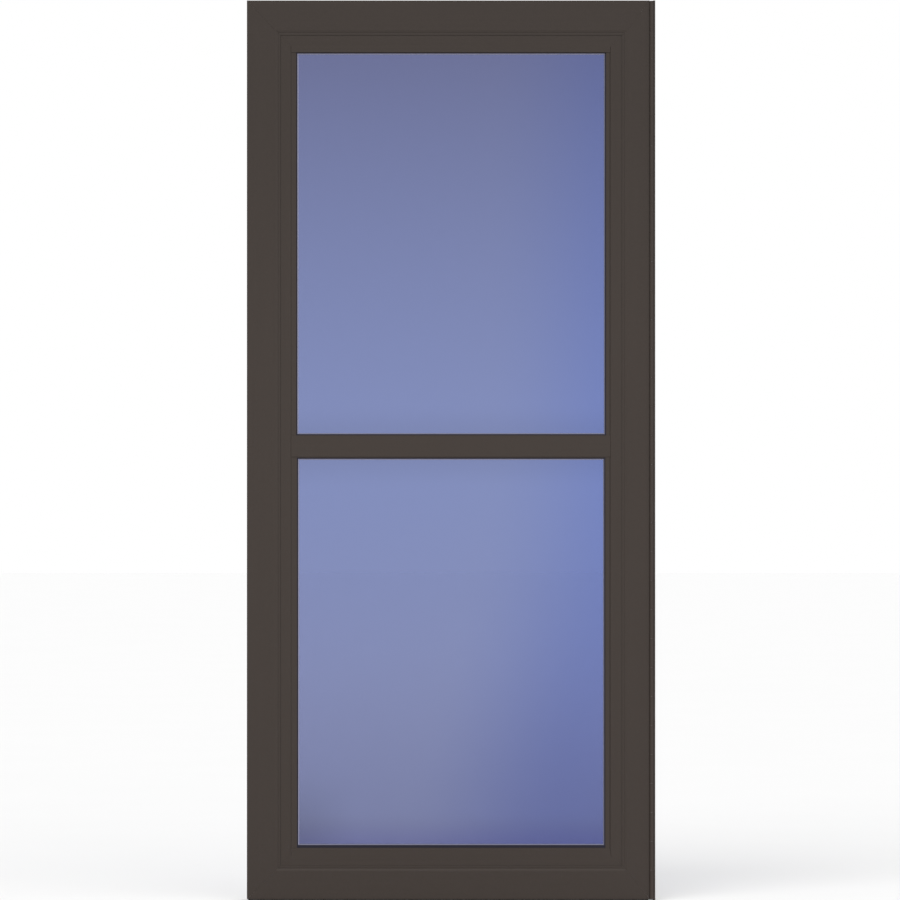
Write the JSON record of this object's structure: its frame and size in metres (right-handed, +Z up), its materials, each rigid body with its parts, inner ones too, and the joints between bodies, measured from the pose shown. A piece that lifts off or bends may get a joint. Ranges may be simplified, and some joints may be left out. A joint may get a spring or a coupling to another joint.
{
  "type": "storm door",
  "caption": "Full-view storm door with a pane above and a pane below a middle rail, swinging on a continuous hinge in its hinge rail.",
  "frame": {"origin": "on the outer side face of the hinge rail, level with the foot of the door and halfway through the door's thickness", "axes": "+X out of the hinge rail's side face, away from the door; +Y from outside to inside; +Z up"},
  "size_m": [0.9204, 0.0531, 2.0288],
  "materials": {
    "brown_aluminium": "satin brown powder coat",
    "brown_hinge": "satin brown powder coat on the hinge leaves",
    "tinted_glass": "clear float glass, blue in reflection",
    "grey_vinyl": "matt grey glazing vinyl",
    "black_vinyl": "matt black sweep vinyl",
    "brush_pile": "woven pile",
    "hinge_steel": "plain steel pin",
    "mill_aluminium": "mill finish"
  },
  "bodies": {
    "hinge_rail": {"hinge_z_bar": "brown_aluminium", "rail_hinge_leaf": "brown_hinge", "hinge_pin": "hinge_steel", "rail_brush_seal": "brush_pile"},
    "door": {"bottom_rail": "brown_aluminium", "corner_keys": "mill_aluminium", "door_hinge_leaf": "brown_hinge", "door_sweep": "black_vinyl", "hinge_stile": "brown_aluminium", "latch_stile": "brown_aluminium", "lower_gasket": "grey_vinyl", "lower_glass": "tinted_glass", "lower_retainer_bottom": "brown_aluminium", "lower_retainer_left": "brown_aluminium", "lower_retainer_right": "brown_aluminium", "lower_retainer_top": "brown_aluminium", "lower_sash_bottom": "brown_aluminium", "lower_sash_left": "brown_aluminium", "lower_sash_right": "brown_aluminium", "lower_sash_top": "brown_aluminium", "mid_rail": "brown_aluminium", "sweep_carrier": "brown_aluminium", "top_rail": "brown_aluminium", "upper_gasket": "grey_vinyl", "upper_glass": "tinted_glass", "upper_retainer_bottom": "brown_aluminium", "upper_retainer_left": "brown_aluminium", "upper_retainer_right": "brown_aluminium", "upper_retainer_top": "brown_aluminium", "upper_sash_bottom": "brown_aluminium", "upper_sash_left": "brown_aluminium", "upper_sash_right": "brown_aluminium", "upper_sash_top": "brown_aluminium"}
  },
  "joints": [
    {"name": "door_swing", "type": "hinge", "parent": "hinge_rail", "child": "door", "pos_m": [-0.0054, -0.02065, 0], "axis": [0, 0, 1], "range_deg": [0, 110]}
  ]
}
